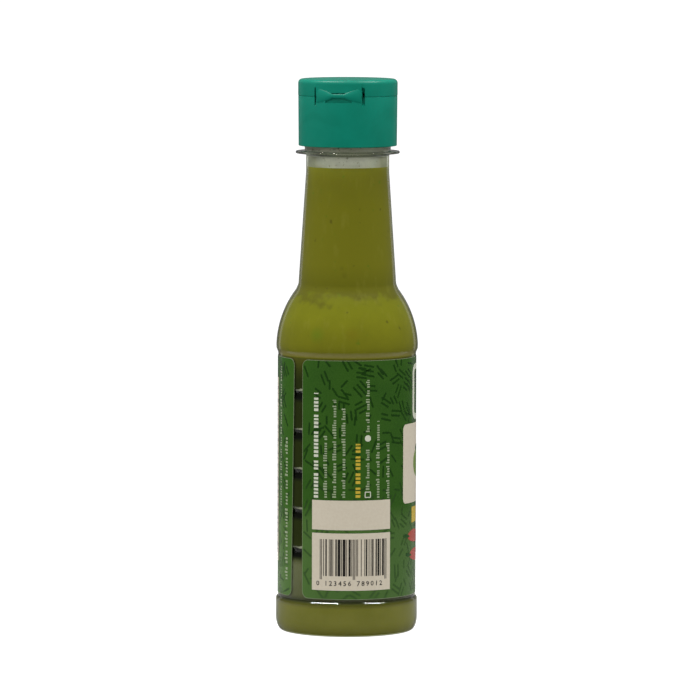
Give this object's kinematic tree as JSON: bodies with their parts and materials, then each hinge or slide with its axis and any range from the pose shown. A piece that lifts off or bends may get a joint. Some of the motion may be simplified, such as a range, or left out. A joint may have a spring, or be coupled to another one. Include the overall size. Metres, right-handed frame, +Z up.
{
  "type": "hot sauce bottle",
  "caption": "Slim clear plastic bottle of green hot sauce with a long neck, a wrap-around green label with plain printed blocks, and a teal flip-top closure with a bow-tie hinge.",
  "frame": {"origin": "centre of the base, on the plane the bottle stands on", "axes": "+Z up along the bottle's axis; the closure's hinge is on the -Y side and its pin lies along X; the thumb scoop faces +Y"},
  "size_m": [0.0446, 0.0446, 0.174],
  "materials": {
    "clear_pet": "clear blow-moulded PET, glossy",
    "green_sauce": "opaque olive-green sauce, wet",
    "printed_film": "glossy printed plastic film",
    "teal_polypropylene": "moulded polypropylene, satin gloss"
  },
  "bodies": {
    "bottle": {"bottle": "clear_pet", "sauce": "green_sauce", "label": "printed_film", "cap_base": "teal_polypropylene"},
    "lid": {"cap_lid": "teal_polypropylene"}
  },
  "joints": [
    {"name": "lid_hinge", "type": "hinge", "parent": "bottle", "child": "lid", "pos_m": [0, -0.0152, 0.1685], "axis": [1, 0, 0], "range_deg": [0, 150]}
  ]
}
